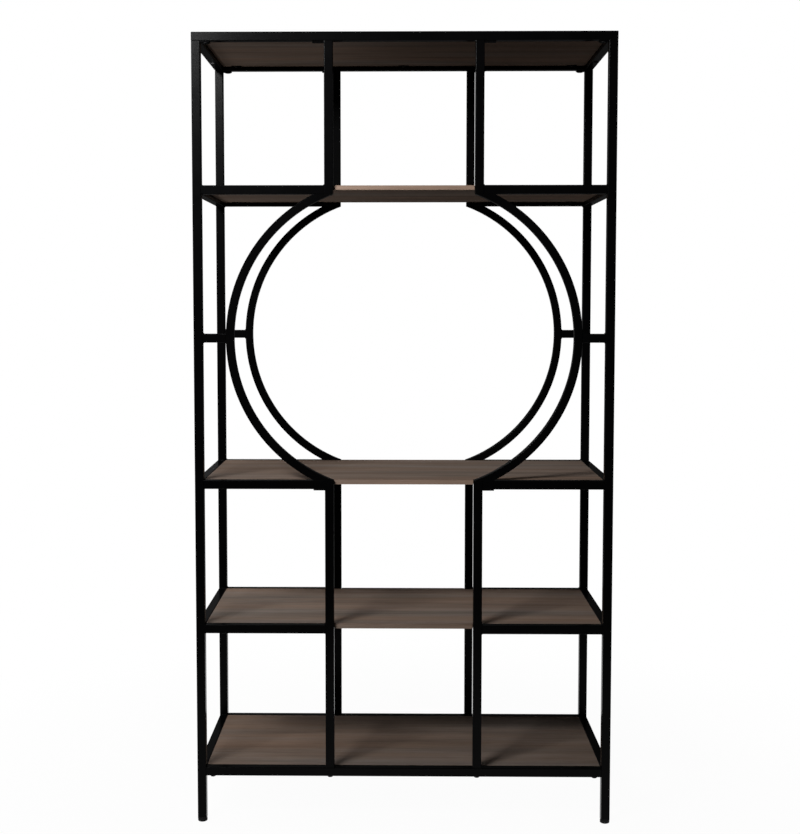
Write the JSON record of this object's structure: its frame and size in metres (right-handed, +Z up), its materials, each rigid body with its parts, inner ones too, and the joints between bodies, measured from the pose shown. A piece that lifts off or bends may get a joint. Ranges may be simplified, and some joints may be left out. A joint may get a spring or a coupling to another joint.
{
  "type": "bookcase",
  "caption": "Tall open bookcase of black square steel tube with wood-look shelves, split into bays, with a large ring framing its middle tier and levelling feet under its posts.",
  "frame": {"origin": "on the floor, under the middle of the bookcase", "axes": "+X along the width to the right, +Y from the front to the back, +Z up"},
  "size_m": [0.952, 0.402, 1.8],
  "materials": {
    "frame_steel": "satin black powder coat",
    "shelf_wood": "grey-brown oak-look laminate, matt",
    "foot_plastic": "black moulded nylon",
    "plug_plastic": "black moulded nylon",
    "bolt_steel": "black oxide, and bright zinc under the left top side rail",
    "screw_steel": "black zinc"
  },
  "bodies": {
    "frame": {"front_left_post": "frame_steel", "front_left_arc": "frame_steel", "front_left_strut": "frame_steel", "upper_front_left_inner_post": "frame_steel", "lower_front_left_inner_post": "frame_steel", "upper_front_left_rail": "frame_steel", "middle_front_left_rail": "frame_steel", "lower_front_left_rail": "frame_steel", "front_right_post": "frame_steel", "front_right_arc": "frame_steel", "front_right_strut": "frame_steel", "upper_front_right_inner_post": "frame_steel", "lower_front_right_inner_post": "frame_steel", "upper_front_right_rail": "frame_steel", "middle_front_right_rail": "frame_steel", "lower_front_right_rail": "frame_steel", "rear_left_post": "frame_steel", "rear_left_arc": "frame_steel", "rear_left_strut": "frame_steel", "upper_rear_left_inner_post": "frame_steel", "lower_rear_left_inner_post": "frame_steel", "upper_rear_left_rail": "frame_steel", "middle_rear_left_rail": "frame_steel", "lower_rear_left_rail": "frame_steel", "rear_right_post": "frame_steel", "rear_right_arc": "frame_steel", "rear_right_strut": "frame_steel", "upper_rear_right_inner_post": "frame_steel", "lower_rear_right_inner_post": "frame_steel", "upper_rear_right_rail": "frame_steel", "middle_rear_right_rail": "frame_steel", "lower_rear_right_rail": "frame_steel", "top_left_rail": "frame_steel", "top_right_rail": "frame_steel", "upper_left_rail": "frame_steel", "upper_right_rail": "frame_steel", "middle_left_rail": "frame_steel", "middle_right_rail": "frame_steel", "lower_left_rail": "frame_steel", "lower_right_rail": "frame_steel", "bottom_left_rail": "frame_steel", "bottom_right_rail": "frame_steel", "top_front_rail": "frame_steel", "top_rear_rail": "frame_steel", "bottom_front_rail": "frame_steel", "bottom_rear_rail": "frame_steel", "top_shelf": "shelf_wood", "upper_shelf": "shelf_wood", "middle_shelf": "shelf_wood", "lower_shelf": "shelf_wood", "bottom_shelf": "shelf_wood", "foot_plugs": "plug_plastic", "joint_plates": "frame_steel", "board_tabs": "frame_steel", "frame_bolts": "bolt_steel", "board_screws": "screw_steel"},
    "front_left_foot": {"front_left_foot": "foot_plastic"},
    "front_right_foot": {"front_right_foot": "foot_plastic"},
    "rear_left_foot": {"rear_left_foot": "foot_plastic"},
    "rear_right_foot": {"rear_right_foot": "foot_plastic"}
  },
  "joints": [
    {"name": "front_left_foot_height", "type": "slide", "parent": "frame", "child": "front_left_foot", "axis": [0, 0, -1], "range_m": [0, 0.012]},
    {"name": "front_right_foot_height", "type": "slide", "parent": "frame", "child": "front_right_foot", "axis": [0, 0, -1], "range_m": [0, 0.012]},
    {"name": "rear_left_foot_height", "type": "slide", "parent": "frame", "child": "rear_left_foot", "axis": [0, 0, -1], "range_m": [0, 0.012]},
    {"name": "rear_right_foot_height", "type": "slide", "parent": "frame", "child": "rear_right_foot", "axis": [0, 0, -1], "range_m": [0, 0.012]}
  ]
}
